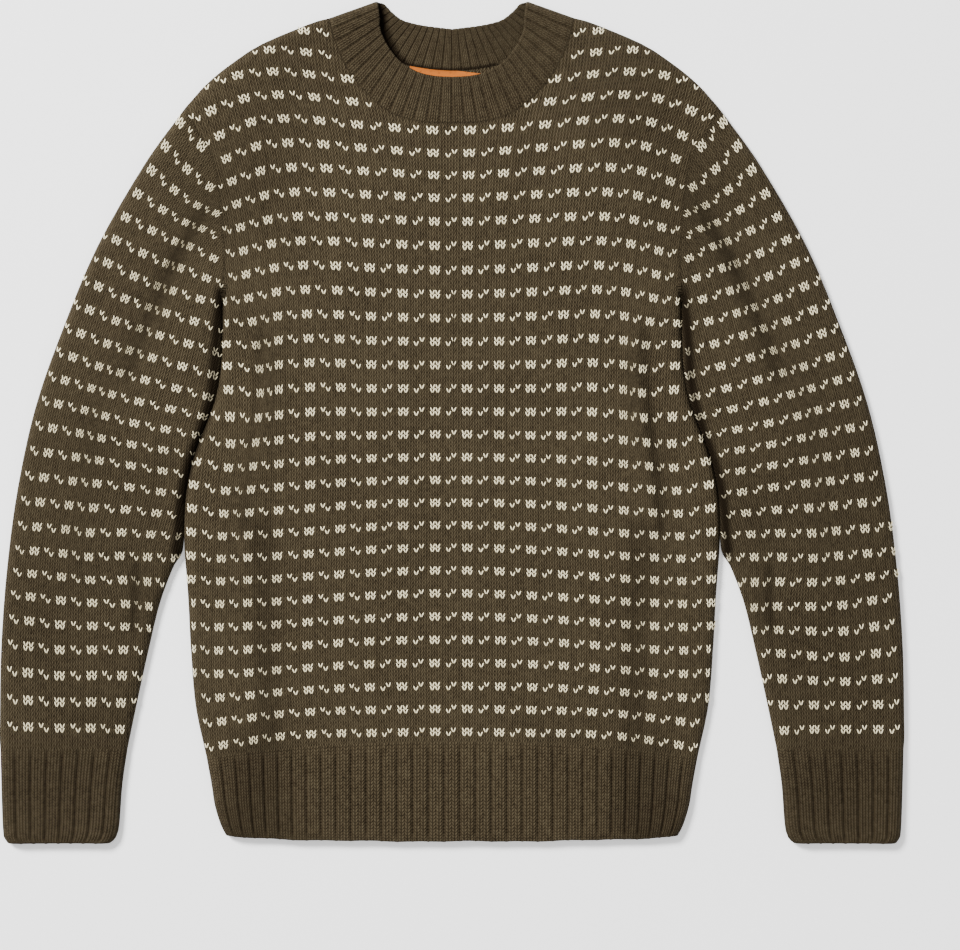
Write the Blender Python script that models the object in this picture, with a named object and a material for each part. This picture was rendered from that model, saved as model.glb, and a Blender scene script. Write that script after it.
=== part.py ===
"""Knitted crew-neck jumper with set-in sleeves, laid flat with its front up.

Every piece that a maker knits and joins on is its own closed solid: front, back, two sleeves,
two ribbed cuffs, the ribbed hem, the ribbed neckband and the plain label inside the back neck.
Sizes are in millimetres. X runs across the garment, Y towards the neck and Z up from the
surface that it lies on. The garment is alike on both sides, so every table gives the half at
+X, where x is the distance from the middle. Left and right are the wearer's.
"""

import bmesh
import bpy
import numpy as np

MM = 0.001

# The cloth and how it lies.
WALL = 2.8                 # thickness of the knitted wall
SEAM = 0.3                 # gap between two pieces at a seam
MID = WALL + SEAM          # height of the side folds, where the front turns over to the back
LOFT = 9.6                 # height of the front's outer face above the surface
ROUND = 9.0                # distance in from a side fold where the front is at its full height
UNDER = MID                # the same distance on the underside
RIM_STEPS = (0.0, 1.2, 4.0, ROUND)      # rows of points across a rounded fold

# Ribs: raised in the outer points of a wall with a plain inside.
RIB_HEIGHT = 1.4
RIB_SINK = 0.5             # the grooves lie this far below the plain knit's face
HEM_RIBS = 33
CUFF_RIBS = 8
NECK_RIBS = 28

# Outlines, as (x, y), from the neck outwards and down. The body's side and the sleeve's inner
# fold lie side by side down to y = -106, with a row of both at the same heights.
SHOULDER = ((101.7, 335.2), (118.7, 330.1), (157.7, 313.5), (183.4, 296.9), (203.4, 280.3), (220.8, 261.2))
ARMHOLE = ((220.8, 261.2), (210.0, 239.7), (198.6, 222.5), (193.4, 199.8), (189.7, 161.6),
           (188.2, 133.4), (190.1, 105.2))
BODY_SIDE = ((190.1, 105.2), (190.2, 83.0), (190.7, 61.0), (192.1, 41.0), (196.2, 20.0), (203.3, 0.0),
             (210.6, -18.0), (216.2, -36.0), (220.4, -58.0), (222.0, -82.0), (221.6, -106.0),
             (218.7, -145.0), (216.6, -185.0), (212.5, -234.0), (203.4, -277.4))
SLEEVE_OUTER = ((220.8, 261.2), (254.8, 213.9), (293.0, 147.5), (321.2, 81.1), (344.5, 14.7), (359.4, -51.7),
                (368.5, -118.1), (373.5, -184.5), (374.8, -250.9), (374.3, -270.0))
SLEEVE_INNER = ((190.1, 105.2), (191.3, 83.0), (192.1, 61.0), (193.6, 41.0), (197.9, 20.0), (205.1, 0.0),
                (212.4, -18.0), (217.9, -36.0), (222.1, -58.0), (223.7, -82.0), (224.4, -106.0),
                (231.2, -120.0), (242.1, -150.0), (251.8, -190.0), (261.0, -232.0), (268.9, -270.0))
NECK_FRONT_SEAM = ((101.7, 335.2), (99.2, 322.0), (92.1, 303.5), (82.2, 285.4), (67.2, 268.7), (54.8, 258.7),
                   (41.5, 252.1), (22.0, 247.8), (0.0, 247.1))
NECK_BACK_SEAM = ((101.7, 335.2), (92.0, 323.0), (76.0, 311.0), (55.6, 302.0), (36.5, 296.5), (16.6, 293.2),
                  (0.0, 292.0))
NECK_FRONT_EDGE = ((61.8, 349.4), (59.8, 337.0), (59.4, 326.3), (53.4, 312.7), (43.3, 300.2), (29.0, 291.7),
                   (15.0, 288.0), (0.0, 287.0))
NECK_BACK_EDGE = ((61.8, 349.4), (56.0, 346.7), (51.0, 341.2), (42.5, 334.3), (33.2, 331.0), (20.7, 328.5),
                  (0.0, 325.9))
HEM_TOP = ((203.4, -277.4), (160.0, -271.6), (100.0, -266.8), (40.0, -264.4), (0.0, -264.1))
HEM_BOTTOM = ((187.2, -343.0), (150.0, -344.6), (102.0, -346.0), (50.0, -346.6), (0.0, -346.7))
HEM_SIDE = ((203.4, -277.4), (199.2, -300.7), (196.7, -317.3), (191.7, -333.9), (187.2, -343.0))

# Cuff: y, x of the outer fold, x of the inner fold.
CUFF_ROWS = ((-270.0, 374.3, 268.9), (-300.7, 373.5, 273.1), (-334.0, 371.8, 275.6), (-345.0, 369.6, 278.4),
             (-349.4, 365.0, 283.0))

LABEL_WIDTH = 70.0
LABEL_HEIGHT = 42.0
LABEL_THICK = 0.8

# The largest folds of the front face: the crest's points, height (a trough is below zero) and
# how wide the fold falls away on its side towards the outside and towards the middle.
FOLDS = (
    {"name": "armpit roll", "height": 4.6, "outside": 5.5, "inside": 16.0,
     "crest": ((151.0, 88.0), (153.6, 35.5), (157.7, -6.0), (164.3, -47.5), (169.3, -89.0), (170.0, -124.0))},
    {"name": "flank hollow", "height": -1.6, "outside": 13.0, "inside": 15.0,
     "crest": ((161.0, -70.0), (155.0, -120.0), (152.5, -200.0), (152.0, -290.0), (152.0, -346.0))},
    {"name": "sleeve crease", "height": -2.2, "outside": 6.0, "inside": 11.0,
     "crest": ((209.2, 176.6), (231.6, 136.7), (253.2, 96.1), (271.4, 48.0), (283.9, 18.9))},
    {"name": "forearm crease", "height": -1.6, "outside": 6.0, "inside": 5.0,
     "crest": ((263.0, -108.0), (261.8, -147.0), (264.5, -182.0))},
)

OLIVE = (0.065, 0.046, 0.024, 1.0)
ORANGE = (0.73, 0.28, 0.065, 1.0)


# ---------------------------------------------------------------- curves and surfaces

def smooth_path(points, fractions):
    """Points at the given fractions of the length of a smooth curve through a short list of points."""
    knots = np.asarray(points, float)
    ends = np.vstack([2 * knots[0] - knots[1], knots, 2 * knots[-1] - knots[-2]])
    t = np.linspace(0.0, 1.0, 24, endpoint=False)[:, None]
    runs = []
    for a, b, c, d in zip(ends[:-3], ends[1:-2], ends[2:-1], ends[3:]):
        runs.append(0.5 * (2 * b + (c - a) * t + (2 * a - 5 * b + 4 * c - d) * t ** 2
                           + (3 * b - a - 3 * c + d) * t ** 3))
    dense = np.vstack(runs + [knots[-1:]])
    length = np.concatenate([[0.0], np.cumsum(np.linalg.norm(np.diff(dense, axis=0), axis=1))])
    wanted = np.asarray(fractions) * length[-1]
    return np.column_stack([np.interp(wanted, length, dense[:, k]) for k in range(2)])


def path_length(points):
    """Length of the smooth curve through a list of points."""
    dense = smooth_path(points, np.linspace(0.0, 1.0, 400))
    return np.linalg.norm(np.diff(dense, axis=0), axis=1).sum()


def rimmed_fractions(length, inner_points, start_rim=True, end_rim=True):
    """Fractions along a length: close together over a rounded fold at either end, even between."""
    steps = np.asarray(RIM_STEPS)
    low = steps if start_rim else np.zeros(1)
    high = length - steps[::-1] if end_rim else np.full(1, length)
    middle = np.linspace(low[-1], high[0], inner_points + 2)[1:-1]
    return np.concatenate([low, middle, high]) / length


def patch(top, bottom, start, end):
    """Surface inside four edge curves (a Coons patch). Rows run from top to bottom, columns
    from start to end."""
    u, v = arc_fractions(top)[None, :, None], arc_fractions(start)[:, None, None]
    corners = ((1 - u) * (1 - v) * top[0] + u * (1 - v) * top[-1]
               + (1 - u) * v * bottom[0] + u * v * bottom[-1])
    return (1 - v) * top[None] + v * bottom[None] + (1 - u) * start[:, None] + u * end[:, None] - corners


def arc_fractions(points):
    """How far along a chain each of its points is, from 0 to 1."""
    length = np.concatenate([[0.0], np.cumsum(np.linalg.norm(np.diff(points, axis=0), axis=1))])
    return length / length[-1]


def nearest_on_paths(xy, paths):
    """Distance from each point to the nearest of the paths, and the unit step away from it,
    turned towards the middle of the point's own row."""
    flat = xy.reshape(-1, 2)
    middle = np.broadcast_to(xy.mean(axis=1, keepdims=True), xy.shape).reshape(-1, 2)
    starts = np.vstack([p[:-1] for p in paths])
    runs = np.vstack([np.diff(p, axis=0) for p in paths])
    along = ((flat[:, None] - starts) * runs).sum(2) / (runs ** 2).sum(1)
    foot = starts + np.clip(along, 0, 1)[:, :, None] * runs
    away = flat[:, None] - foot
    gap = np.linalg.norm(away, axis=2)
    pick = gap.argmin(axis=1)
    rows = np.arange(len(flat))
    gap, away = gap[rows, pick], away[rows, pick]
    side = runs[pick][:, ::-1] * (-1, 1)
    side = side / np.linalg.norm(side, axis=1, keepdims=True)
    side *= np.sign(((middle - flat) * side).sum(1, keepdims=True))
    away = np.where(gap[:, None] > 0.05, away / np.maximum(gap, 1e-9)[:, None], side)
    return gap.reshape(xy.shape[:-1]), away.reshape(xy.shape)


def quarter_round(distance, radius):
    """Rises from 0 at a fold to 1 at the radius, as a quarter of an ellipse does."""
    return np.sqrt(np.clip(1 - (1 - np.minimum(distance / radius, 1)) ** 2, 0, 1))


def fold_relief(xy):
    """Height that the folds add at each point: each is a smooth swell across its crest line,
    steeper on one side than on the other, that dies out at both ends."""
    flat = np.column_stack([np.abs(xy[..., 0].ravel()), xy[..., 1].ravel()])
    height = np.zeros(len(flat))
    for fold in FOLDS:
        line = smooth_path(fold["crest"], np.linspace(0, 1, 60))
        gap = flat[:, None] - line
        reach = np.linalg.norm(gap, axis=2)
        pick = reach.argmin(axis=1)
        outside = gap[np.arange(len(flat)), pick, 0] > 0
        width = np.where(outside, fold["outside"], fold["inside"])
        ends = np.sin(np.pi * np.clip((pick + 1.5) / 62.0, 0, 1)) ** 0.7
        height += fold["height"] * ends * np.exp(-(reach.min(axis=1) / width) ** 2)
    return height.reshape(xy.shape[:-1])


def along_rows(xy, inward, least=0.6):
    """The inward step turned along each point's own row, and lengthened to reach as far in, so
    that both ends of a slanted tube stay true to their seam lines. It stays as it is where the
    row runs along the fold."""
    run = np.gradient(xy, axis=1)
    run /= np.linalg.norm(run, axis=2, keepdims=True)
    run[:, xy.shape[1] // 2:] *= -1
    slant = (run * inward).sum(2, keepdims=True)
    return np.where(slant > least, run / np.maximum(slant, least), inward)


def upper_wall(xy, fold_paths, raised=0.0, slanted=True):
    """Outer and inner points of a wall that lies on top: round at the folds, soft between.
    The outer face also carries what is raised on it, such as ribs; the inner face doesn't."""
    gap, inward = nearest_on_paths(xy, fold_paths)
    if slanted:
        inward = along_rows(xy, inward)
    q = quarter_round(gap, ROUND)
    face = MID + q * (LOFT - MID + fold_relief(xy) * quarter_round(gap, 3 * ROUND))
    outer = np.dstack([xy, face + q * raised])
    shift = inward * (WALL * np.sqrt(1 - q ** 2))[..., None]
    inner = np.dstack([xy + shift, face - WALL * q])
    return outer, inner


def lower_wall(xy, fold_paths, slanted=True):
    """Outer and inner points of a wall that rests on the surface, flat but for its round folds."""
    gap, inward = nearest_on_paths(xy, fold_paths)
    if slanted:
        inward = along_rows(xy, inward)
    q = quarter_round(gap, UNDER)
    outer = np.dstack([xy, MID * (1 - q)])
    shift = inward * (WALL * np.sqrt(1 - q ** 2))[..., None]
    inner = np.dstack([xy + shift, MID * (1 - q) + WALL * q])
    return outer, inner


# ---------------------------------------------------------------- solids

def knit_material(name, colour, roughness):
    """Principled material in the piece's own colour."""
    material = bpy.data.materials.new(name)
    material.use_nodes = True
    shader = material.node_tree.nodes["Principled BSDF"]
    shader.inputs["Base Color"].default_value = colour
    shader.inputs["Roughness"].default_value = roughness
    shader.inputs["Metallic"].default_value = 0.0
    material.diffuse_color = colour
    return material


def add_object(name, mesh_data, material):
    """Turns a bmesh in millimetres into a named object with outward faces."""
    bmesh.ops.recalc_face_normals(mesh_data, faces=mesh_data.faces)
    bmesh.ops.triangulate(mesh_data, faces=mesh_data.faces)
    bmesh.ops.scale(mesh_data, vec=(MM, MM, MM), verts=mesh_data.verts)
    mesh = bpy.data.meshes.new(name)
    mesh_data.to_mesh(mesh)
    mesh_data.free()
    mesh.shade_smooth()
    mesh.set_sharp_from_angle(angle=np.radians(50))
    mesh.materials.append(material)
    thing = bpy.data.objects.new(name, mesh)
    bpy.context.scene.collection.objects.link(thing)
    return thing


def grid_vertices(bm, points):
    """Adds a grid of points and returns its vertices row by row."""
    return [[bm.verts.new(p) for p in row] for row in points]


def strip(bm, one, other, closed=False):
    """Faces between two chains of vertices of the same length."""
    count = len(one) if closed else len(one) - 1
    for k in range(count):
        j = (k + 1) % len(one)
        bm.faces.new((one[k], one[j], other[j], other[k]))


def panel(name, outer, inner, material):
    """A wall between two grids of points, closed along its four edges."""
    bm = bmesh.new()
    faces = [grid_vertices(bm, outer), grid_vertices(bm, inner)]
    for grid in faces:
        for one, other in zip(grid[:-1], grid[1:]):
            strip(bm, one, other)
    out, inside = faces
    strip(bm, out[0], inside[0])
    strip(bm, out[-1], inside[-1])
    strip(bm, [row[0] for row in out], [row[0] for row in inside])
    strip(bm, [row[-1] for row in out], [row[-1] for row in inside])
    return add_object(name, bm, material)


def tube(name, upper, lower, material):
    """A flattened tube, open at both ends: an upper and a lower wall that share their side
    folds. Each wall is a pair of grids, outer and inner, with one row for each section."""
    bm = bmesh.new()
    skins = []
    for top, bottom in zip(upper, lower):
        rings = np.concatenate([top, bottom[:, -2:0:-1]], axis=1)
        skins.append(grid_vertices(bm, rings))
    for skin in skins:
        for one, other in zip(skin[:-1], skin[1:]):
            strip(bm, one, other, closed=True)
    for end in (0, -1):
        strip(bm, skins[0][end], skins[1][end], closed=True)
    return add_object(name, bm, material)


def mirrored(grids):
    """The same grids on the other side of the garment."""
    return [grid * (-1, 1, 1) for grid in grids]


def both_halves(half):
    """A chain from the outside to the middle, continued to the other side as its mirror image."""
    return np.vstack([half, half[-2::-1] * (-1, 1)])


def rib_positions(ribs, groove_share=0.22):
    """Places across a ribbed piece, from 0 to 1, and which of them are raised: each rib has a
    narrow groove and a flat raised face."""
    places, raised = [0.0], [0.0]
    for rib in range(ribs):
        places += [(rib + groove_share) / ribs, (rib + 1 - groove_share) / ribs, (rib + 1) / ribs]
        raised += [1.0, 1.0, 0.0]
    return np.array(places), np.array(raised)


# ---------------------------------------------------------------- the garment's shared edges

FOLD_STEPS = np.linspace(0, 1, 60)
outer_fold = np.vstack([smooth_path(SHOULDER, FOLD_STEPS), smooth_path(SLEEVE_OUTER, FOLD_STEPS)[1:]])
body_fold = np.array(BODY_SIDE)
inner_fold = np.array(SLEEVE_INNER)
neck_fold = np.array([SHOULDER[0], NECK_FRONT_EDGE[0]])
armhole_steps = rimmed_fractions(path_length(ARMHOLE), 6)
armhole = smooth_path(ARMHOLE, armhole_steps)

BOTH_SIDES = np.array((-1, 1))
body_folds = [outer_fold, outer_fold * BOTH_SIDES, body_fold, body_fold * BOTH_SIDES]


def body_outline(neck_seam, neck_points, shoulder_steps, step_off):
    """The four edges of the front or back: neck and shoulders, hem, and the two sides."""
    shoulder = smooth_path(SHOULDER[::-1], shoulder_steps)
    neck = smooth_path(neck_seam, np.linspace(0, 1, neck_points))
    outward = neck - (0.0, neck_seam[0][1])
    outward /= np.linalg.norm(outward, axis=1, keepdims=True)
    neck = neck + step_off * outward
    along = shoulder[-2] - shoulder[-1]
    shoulder[-1] += step_off * along / np.linalg.norm(along)
    neck[0] = shoulder[-1]
    top = both_halves(np.vstack([shoulder, neck[1:]]))
    start = np.vstack([armhole - (SEAM, 0), body_fold[1:]])
    start[0] = top[0]
    bottom_x = np.interp(arc_fractions(top), (0, 1), (start[-1, 0], -start[-1, 0]))
    hem = smooth_path(HEM_TOP, np.linspace(0, 1, 40))[::-1]
    bottom = np.column_stack([bottom_x, np.interp(np.abs(bottom_x), hem[:, 0], hem[:, 1])])
    bottom[0] = start[-1]
    bottom[-1] = start[-1] * BOTH_SIDES
    return top, bottom, start, start * BOTH_SIDES


def make_front(material):
    """Front: one wall from the neck and shoulders to the hem, lying on the back."""
    shoulder_steps = rimmed_fractions(path_length(SHOULDER), 8, end_rim=False)
    xy = patch(*body_outline(NECK_FRONT_SEAM, 11, shoulder_steps, step_off=0.6))
    outer, inner = upper_wall(xy, body_folds, slanted=False)
    return panel("front_panel", outer, inner, material)


def make_back(material):
    """Back: the wall that rests on the surface, with a shallower neck and a flat upper face."""
    xy = patch(*body_outline(NECK_BACK_SEAM, 8, np.array((0.0, 0.03, 0.5, 1.0)), step_off=0.95))
    outer = lower_wall(xy, body_folds, slanted=False)[0]
    lying = np.dstack([xy, np.full(xy.shape[:2], WALL)])
    outer[..., 2] = np.minimum(outer[..., 2], WALL - 0.4)
    return panel("back_panel", lying, outer, material)


def make_sleeve(name, side, material):
    """Set-in sleeve: a tapering tube pressed flat, from the armhole to the cuff."""
    inner_edge = inner_fold
    outer_edge = smooth_path(SLEEVE_OUTER, arc_fractions(inner_edge))
    wrist = outer_edge[-1] + armhole_steps[:, None] * (inner_edge[-1] - outer_edge[-1])
    grid = patch(armhole, wrist, outer_edge, inner_edge)
    folds = [outer_fold, inner_fold]
    upper, lower = upper_wall(grid, folds), lower_wall(grid, folds)
    if side < 0:
        upper, lower = mirrored(upper), mirrored(lower)
    return tube(name, upper, lower, material)


def ribbed_walls(top_grid, bottom_grid, folds, raised):
    """Upper wall with ribs raised on its outer face, and the plain lower wall."""
    return upper_wall(top_grid, folds, raised * RIB_HEIGHT - RIB_SINK), lower_wall(bottom_grid, folds)


def make_hem(material):
    """Ribbed hem: a short tube below the front and back, pulled in towards its lower edge."""
    places, raised = rib_positions(HEM_RIBS)
    depth = np.array((0.0, 0.33, 0.66, 0.9, 1.0))
    side = smooth_path(HEM_SIDE, depth)
    half = smooth_path(HEM_SIDE, FOLD_STEPS)
    across = 1 - 2 * places
    top_y = smooth_path(HEM_TOP, np.linspace(0, 1, 40))[::-1]
    low_y = smooth_path(HEM_BOTTOM, np.linspace(0, 1, 40))[::-1]

    def rows(across):
        x = side[:, :1] * across[None]
        y_top = np.interp(np.abs(x[0]), top_y[:, 0], top_y[:, 1]) - SEAM
        y_low = np.interp(np.abs(x[-1]), low_y[:, 0], low_y[:, 1])
        drop = ((side[:, 1] - side[0, 1]) / (side[-1, 1] - side[0, 1]))[:, None]
        return np.dstack([x, y_top + drop * (y_low - y_top)])

    folds = [half, half * BOTH_SIDES]
    plain = 1 - 2 * rimmed_fractions(2 * HEM_TOP[0][0], 8)
    upper, lower = ribbed_walls(rows(across), rows(plain), folds, raised)
    return tube("hem_rib", upper, lower, material)


def make_cuff(name, side, material):
    """Ribbed cuff: a short tube below the sleeve with rounded lower corners."""
    places, raised = rib_positions(CUFF_RIBS)
    rows = np.array(CUFF_ROWS)
    rows[0, 0] -= SEAM

    def grid(across):
        x = rows[:, 1:2] + across[None] * (rows[:, 2:3] - rows[:, 1:2])
        return np.dstack([x, np.broadcast_to(rows[:, :1], x.shape)])

    folds = [rows[:, [1, 0]], rows[:, [2, 0]]]
    plain = rimmed_fractions(CUFF_ROWS[0][1] - CUFF_ROWS[0][2], 2)
    upper, lower = ribbed_walls(grid(places), grid(plain), folds, raised)
    if side < 0:
        upper, lower = mirrored(upper), mirrored(lower)
    return tube(name, upper, lower, material)


def make_neckband(material):
    """Ribbed neckband: a ring of cloth from the neck seam to its free edge. Its back half lies
    on the surface with its inner face showing, and its front half lies over it."""
    places, raised = rib_positions(NECK_RIBS)
    seam_gap = SEAM / np.linalg.norm(np.subtract(NECK_FRONT_EDGE[0], NECK_FRONT_SEAM[0]))
    height = np.linspace(seam_gap, 1, 4)[:, None, None]

    def half(seam, edge, across):
        low = smooth_path(seam, np.clip(2 * across[across <= 0.5], 0, 1))
        high = smooth_path(edge, np.clip(2 * across[across <= 0.5], 0, 1))
        rows = (1 - height) * low[None] + height * high[None]
        mirror = rows[:, ::-1] * BOTH_SIDES
        return np.concatenate([rows, mirror[:, 1:]], axis=1)

    folds = [neck_fold, neck_fold * BOTH_SIDES]
    front = half(NECK_FRONT_SEAM, NECK_FRONT_EDGE, places)
    back_places = rimmed_fractions(2 * path_length(NECK_BACK_SEAM), 13)
    back = half(NECK_BACK_SEAM, NECK_BACK_EDGE, back_places)
    upper, lower = ribbed_walls(front, back, folds, raised)
    return tube("neckband", upper, lower, material)


def make_label(material):
    """Plain woven label below the back neck seam, lying on the inside of the back."""
    x = np.linspace(-LABEL_WIDTH / 2, LABEL_WIDTH / 2, 9)
    seam = smooth_path(NECK_BACK_SEAM, np.linspace(0, 1, 60))[::-1]
    top = np.interp(np.abs(x), seam[:, 0], seam[:, 1]) - 2 * SEAM
    drop = np.linspace(0, LABEL_HEIGHT, 4)[:, None]
    xy = np.dstack([np.broadcast_to(x, (4, 9)), top[None] - drop])
    low = WALL + SEAM
    under = np.dstack([xy, np.full(xy.shape[:2], low)])
    over = under + (0, 0, LABEL_THICK)
    return panel("neck_label", over, under, material)


def main():
    for thing in list(bpy.data.objects):
        bpy.data.objects.remove(thing)
    wool = knit_material("olive_wool", OLIVE, 0.9)
    ribbed = knit_material("olive_rib", OLIVE, 0.9)
    orange = knit_material("orange_label", ORANGE, 0.7)
    make_front(wool)
    make_back(wool)
    for name, side in (("left", 1), ("right", -1)):
        make_sleeve("sleeve_" + name, side, wool)
        make_cuff("cuff_" + name, side, ribbed)
    make_hem(ribbed)
    make_neckband(ribbed)
    make_label(orange)


main()
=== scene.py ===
# %% [markdown]
# # A two-colour jumper, laid flat
#
# A knitted jumper with a round neck lies flat on a pale floor with its front up. Its body and
# sleeves are olive stocking stitch with small cream motifs knitted in, and its neckband, hem and
# cuffs are ribbed. Each piece that a maker knits is a surface worked out with numpy: a shape is a
# function of two parameters on a grid, and whole arrays are put into a mesh at once.
#
# The first cell loads the garment's solids, whose places every piece here keeps.

import bpy
import numpy as np
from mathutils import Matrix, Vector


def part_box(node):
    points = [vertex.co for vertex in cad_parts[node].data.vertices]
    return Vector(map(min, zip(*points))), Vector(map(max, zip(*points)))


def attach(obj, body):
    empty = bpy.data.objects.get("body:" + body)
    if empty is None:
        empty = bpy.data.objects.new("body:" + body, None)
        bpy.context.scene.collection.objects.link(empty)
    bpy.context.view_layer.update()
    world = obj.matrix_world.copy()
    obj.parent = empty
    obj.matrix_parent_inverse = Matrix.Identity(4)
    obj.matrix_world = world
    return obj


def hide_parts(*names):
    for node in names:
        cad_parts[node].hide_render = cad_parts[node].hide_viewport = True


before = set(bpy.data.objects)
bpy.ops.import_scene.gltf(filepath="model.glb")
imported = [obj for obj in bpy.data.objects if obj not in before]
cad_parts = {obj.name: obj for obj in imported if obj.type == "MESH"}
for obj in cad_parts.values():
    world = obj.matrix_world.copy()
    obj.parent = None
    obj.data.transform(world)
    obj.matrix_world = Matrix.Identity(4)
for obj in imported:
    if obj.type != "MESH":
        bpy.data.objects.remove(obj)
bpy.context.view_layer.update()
MM = 0.001
VIEW_CENTRE = (0.0232, -0.0434)  # the middle of the picture, in metres
VIEW_WIDTH = 0.7968  # the floor's width across the picture, in metres
LENS = 100.0
SENSOR = 36.0
CAMERA_HEIGHT = VIEW_WIDTH * LENS / SENSOR
print("nodes:", sorted(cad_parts))

# %% [markdown]
# ## The garment's outlines
#
# A jumper is drawn as a maker drafts it: its seams, folds and edges, each as a few points with a
# smooth curve through them. Both sides are alike, so every table gives the half at +X in
# millimetres, with x as the distance from the middle. Y runs towards the neck and Z up. The
# lines keep within about 2 mm of the solids' own, and the sleeve's inner fold touches the side.

# %% Outlines of the half at +X
SHOULDER = ((101.7, 335.2), (118.7, 330.1), (157.7, 313.5), (183.4, 296.9), (203.4, 280.3), (220.8, 261.2))
ARMHOLE = ((220.8, 261.2), (210, 239.7), (198.6, 222.5), (193.4, 199.8), (189.7, 161.6),
           (188.2, 133.4), (190.1, 105.2))
BODY_SIDE = ((190.1, 105.2), (190.2, 83), (190.7, 61), (192.1, 41), (196.2, 20), (203.3, 0),
             (210.6, -18), (216.2, -36), (220.4, -58), (222, -82), (221.6, -106),
             (218.7, -145), (216.6, -185), (212.5, -234), (203.4, -277.4))
SLEEVE_OUTER = ((220.8, 261.2), (254.8, 213.9), (293, 147.5), (321.2, 81.1), (344.5, 14.7), (359.4, -51.7),
                (368.5, -118.1), (373.5, -184.5), (374.8, -250.9), (374.3, -270))
SLEEVE_INNER = ((190.1, 105.2), (190, 83), (190.5, 61), (191.9, 41), (196, 20), (203.1, 0),
                (210.4, -18), (216, -36), (220.2, -58), (221.9, -82), (223, -106),
                (231, -120), (242.1, -150), (251.8, -190), (261, -232), (268.9, -270))
NECK_FRONT_SEAM = ((101.7, 335.2), (99.2, 322), (92.1, 303.5), (82.2, 285.4), (67.2, 268.7), (54.8, 258.7),
                   (41.5, 252.1), (22, 247.8), (0, 247.1))
NECK_BACK_SEAM = ((101.7, 335.2), (92, 323), (76, 311), (55.6, 302), (36.5, 296.5), (16.6, 293.2),
                  (0, 292))
NECK_FRONT_EDGE = ((61.8, 349.4), (59.8, 337), (59.2, 325.4), (53, 311.6), (42.9, 299), (28.8, 290.4),
                   (15, 286.8), (0, 285.8))
NECK_BACK_EDGE = ((61.8, 349.4), (56, 346.7), (51, 341.2), (42.5, 334.3), (33.2, 331), (20.7, 328.5),
                  (0, 325.9))
HEM_TOP = ((203.4, -277.4), (160, -271.6), (100, -266.8), (40, -264.4), (0, -264.1))
HEM_BOTTOM = ((187.2, -343), (150, -344.6), (102, -346), (50, -346.6), (0, -346.7))
HEM_SIDE = ((203.4, -277.4), (199.2, -300.7), (196.7, -317.3), (191.7, -333.9), (187.2, -343))
CUFF_OUTER = ((374.3, -270), (373.5, -300.7), (372.4, -334), (371.2, -345), (367.8, -349.4))
CUFF_INNER = ((268.9, -270), (273.1, -300.7), (275.6, -334), (278.4, -345), (283, -349.4))
MIRROR = np.array((-1.0, 1.0))
print("outline points:", sum(len(t) for t in (SHOULDER, ARMHOLE, BODY_SIDE, SLEEVE_OUTER, SLEEVE_INNER)))

# %% [markdown]
# ## Curves through a few points
#
# A Bezier curve object could carry these outlines, but later steps ask for points at exact shares
# of a curve's length. So it is a Catmull-Rom spline, which passes through its points.

# %% Smooth curves
def smooth_path(points, fractions):
    """Points at given fractions of the length of a Catmull-Rom curve: between two points it is
    the cubic whose slopes there are half the step between their neighbours."""
    knots = np.asarray(points, float)
    ends = np.vstack([2 * knots[0] - knots[1], knots, 2 * knots[-1] - knots[-2]])
    t = np.linspace(0.0, 1.0, 24, endpoint=False)[:, None]
    runs = []
    for a, b, c, d in zip(ends[:-3], ends[1:-2], ends[2:-1], ends[3:]):
        runs.append(0.5 * (2 * b + (c - a) * t + (2 * a - 5 * b + 4 * c - d) * t ** 2
                           + (3 * b - a - 3 * c + d) * t ** 3))
    dense = np.vstack(runs + [knots[-1:]])
    length = np.concatenate([[0.0], np.cumsum(np.linalg.norm(np.diff(dense, axis=0), axis=1))])
    wanted = np.asarray(fractions) * length[-1]
    return np.column_stack([np.interp(wanted, length, dense[:, k]) for k in range(2)])


def traced(points, count):
    """The smooth curve through some points, as a chain of evenly spaced ones."""
    return smooth_path(points, np.linspace(0, 1, count))


def path_length(points):
    """Length of the smooth curve through a list of points."""
    return np.linalg.norm(np.diff(traced(points, 400), axis=0), axis=1).sum()


def arc_fractions(points):
    """How far along a chain each of its points is, from 0 to 1."""
    length = np.concatenate([[0.0], np.cumsum(np.linalg.norm(np.diff(points, axis=0), axis=1))])
    return length / length[-1]


def both_halves(half):
    """A chain from the outside to the middle, continued to the other side as its mirror image."""
    return np.vstack([half, half[-2::-1] * MIRROR])


print("shoulder seam in mm:", round(path_length(SHOULDER), 1))

# %% [markdown]
# ## How flat cloth turns over at its folds
#
# A laid jumper is two layers of thick knit. At each side fold the front turns over to the back,
# so its face climbs from the fold in a quarter of an ellipse and is level further in. On top of
# that lie the main creases. Cloth simulation could settle the jumper, but it would move them, so
# each is given as a line with a height and a width on either side.

# %% Heights of the cloth
WALL = 2.8  # thickness of the knit
MID = 3.1  # height of the side folds
LOFT = 9.6  # height of the front's face
ROUND = 9.0  # how far in from a fold the face is level
LIFT = 0.45  # the underside's plain knit is clear of the floor by the motifs' depth

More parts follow.
